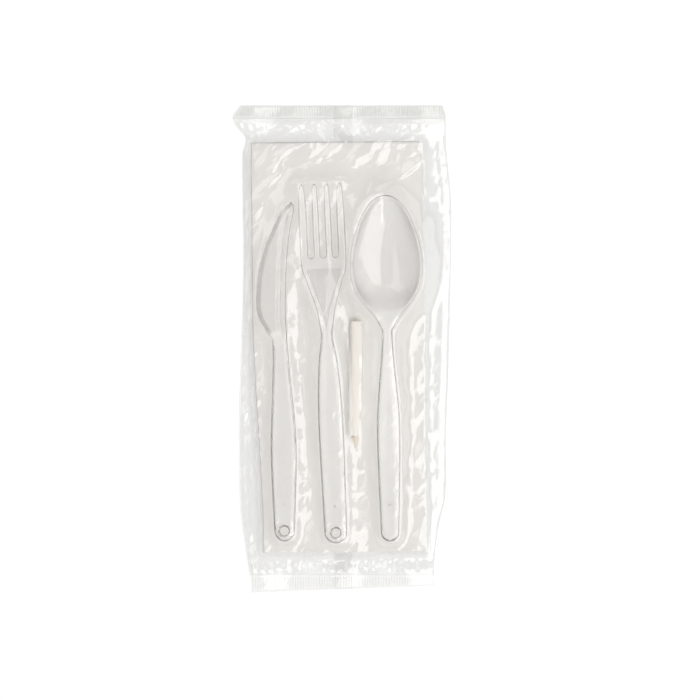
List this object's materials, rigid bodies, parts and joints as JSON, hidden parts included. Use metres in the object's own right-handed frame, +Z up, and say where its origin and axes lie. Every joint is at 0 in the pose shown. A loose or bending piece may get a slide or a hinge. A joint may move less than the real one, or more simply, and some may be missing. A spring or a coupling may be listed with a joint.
{
  "type": "disposable cutlery set in a film pack",
  "caption": "Flat clear film pack holding a clear plastic knife, fork and spoon and a sleeved toothpick on a folded paper napkin.",
  "frame": {"origin": "on the plane the pack lies on, under the middle of its outline", "axes": "+Y along the pack towards the blade and the tines, +X towards the spoon, +Z up from the plane it lies on"},
  "size_m": [0.1073, 0.2384, 0.0146],
  "materials": {
    "pack_film": "thin clear glossy film, softly creased",
    "napkin_paper": "soft two-ply tissue",
    "clear_polystyrene": "clear polished moulding",
    "sleeve_paper": "thin matt wrapping paper",
    "toothpick_wood": "plain unfinished wood"
  },
  "bodies": {
    "root": {"film_pack": "pack_film", "napkin": "napkin_paper", "knife": "clear_polystyrene", "fork": "clear_polystyrene", "spoon": "clear_polystyrene", "toothpick_sleeve": "sleeve_paper", "toothpick": "toothpick_wood"}
  },
  "joints": []
}
